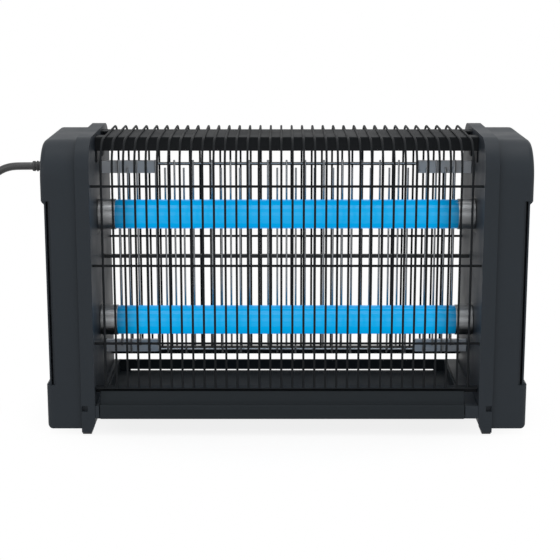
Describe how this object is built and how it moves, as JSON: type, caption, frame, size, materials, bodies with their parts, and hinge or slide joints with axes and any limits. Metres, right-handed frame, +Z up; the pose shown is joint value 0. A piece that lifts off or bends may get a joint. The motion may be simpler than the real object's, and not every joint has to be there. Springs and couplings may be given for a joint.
{
  "type": "electric insect killer",
  "caption": "Electric insect killer: lit ultraviolet lamps and a high-voltage grid behind wire guards between two moulded end caps, with a slide-out tray.",
  "frame": {"origin": "on the floor under the middle of the object, without its free mains lead", "axes": "+X to the right seen from the front, +Y to the back, +Z up"},
  "size_m": [0.573, 0.154, 0.258],
  "materials": {
    "black_coated_steel": "smooth powder coat",
    "black_pvc": "extruded",
    "black_rubber": "moulded",
    "brass": "turned",
    "capacitor_sleeve": "shrink sleeve",
    "charcoal_abs": "fine moulded texture, satin",
    "glass_epoxy": "lacquered board",
    "grey_nylon": "moulded nylon",
    "insulator_nylon": "moulded nylon",
    "lacquered_lamination": "lacquered steel",
    "lamp_aluminium": "drawn cap",
    "stainless_rod": "drawn rod",
    "tray_abs": "fine moulded texture, satin",
    "uv_lamp_glass": "phosphor coated glass, lit",
    "white_polycarbonate": "moulded",
    "zinc_plated_steel": "zinc plated"
  },
  "bodies": {
    "housing": {"board_spacers": "brass", "circuit_board": "glass_epoxy", "coil_tie": "black_pvc", "cord_boot": "black_rubber", "front_guard_rail": "black_coated_steel", "front_guard_rods": "black_coated_steel", "grid_spacer": "insulator_nylon", "guard_hoops": "black_coated_steel", "left_cap_screws": "zinc_plated_steel", "left_inner_frame": "charcoal_abs", "left_lower_grid_bracket": "grey_nylon", "left_lower_lamp_cap": "lamp_aluminium", "left_lower_lamp_holder": "white_polycarbonate", "left_outer_cap": "charcoal_abs", "left_tray_guide": "charcoal_abs", "left_tray_ledge": "charcoal_abs", "left_upper_grid_bracket": "grey_nylon", "left_upper_lamp_cap": "lamp_aluminium", "left_upper_lamp_holder": "white_polycarbonate", "live_carrier_rod": "stainless_rod", "live_grid_rods": "stainless_rod", "lower_ballast": "lacquered_lamination", "lower_lamp_glass": "uv_lamp_glass", "lower_starter": "white_polycarbonate", "lower_starter_socket": "white_polycarbonate", "mains_lead": "black_pvc", "mains_lead_coil": "black_pvc", "mains_lead_tail": "black_pvc", "plug_body": "black_pvc", "plug_pins": "brass", "rear_guard_rail": "black_coated_steel", "rear_guard_rods": "black_coated_steel", "return_carrier_rod": "stainless_rod", "return_grid_rods": "stainless_rod", "right_cap_screws": "zinc_plated_steel", "right_inner_frame": "charcoal_abs", "right_lower_grid_bracket": "grey_nylon", "right_lower_lamp_cap": "lamp_aluminium", "right_lower_lamp_holder": "white_polycarbonate", "right_outer_cap": "charcoal_abs", "right_tray_guide": "charcoal_abs", "right_tray_ledge": "charcoal_abs", "right_upper_grid_bracket": "grey_nylon", "right_upper_lamp_cap": "lamp_aluminium", "right_upper_lamp_holder": "white_polycarbonate", "rubber_feet": "black_rubber", "smoothing_capacitors": "capacitor_sleeve", "step_up_transformer": "lacquered_lamination", "terminal_block": "white_polycarbonate", "top_channel": "black_coated_steel", "upper_ballast": "lacquered_lamination", "upper_lamp_glass": "uv_lamp_glass", "upper_starter": "white_polycarbonate", "upper_starter_socket": "white_polycarbonate"},
    "tray": {"collection_tray": "tray_abs"}
  },
  "joints": [
    {"name": "tray_slide", "type": "slide", "parent": "housing", "child": "tray", "axis": [0, -1, 0], "range_m": [0, 0.14]}
  ]
}
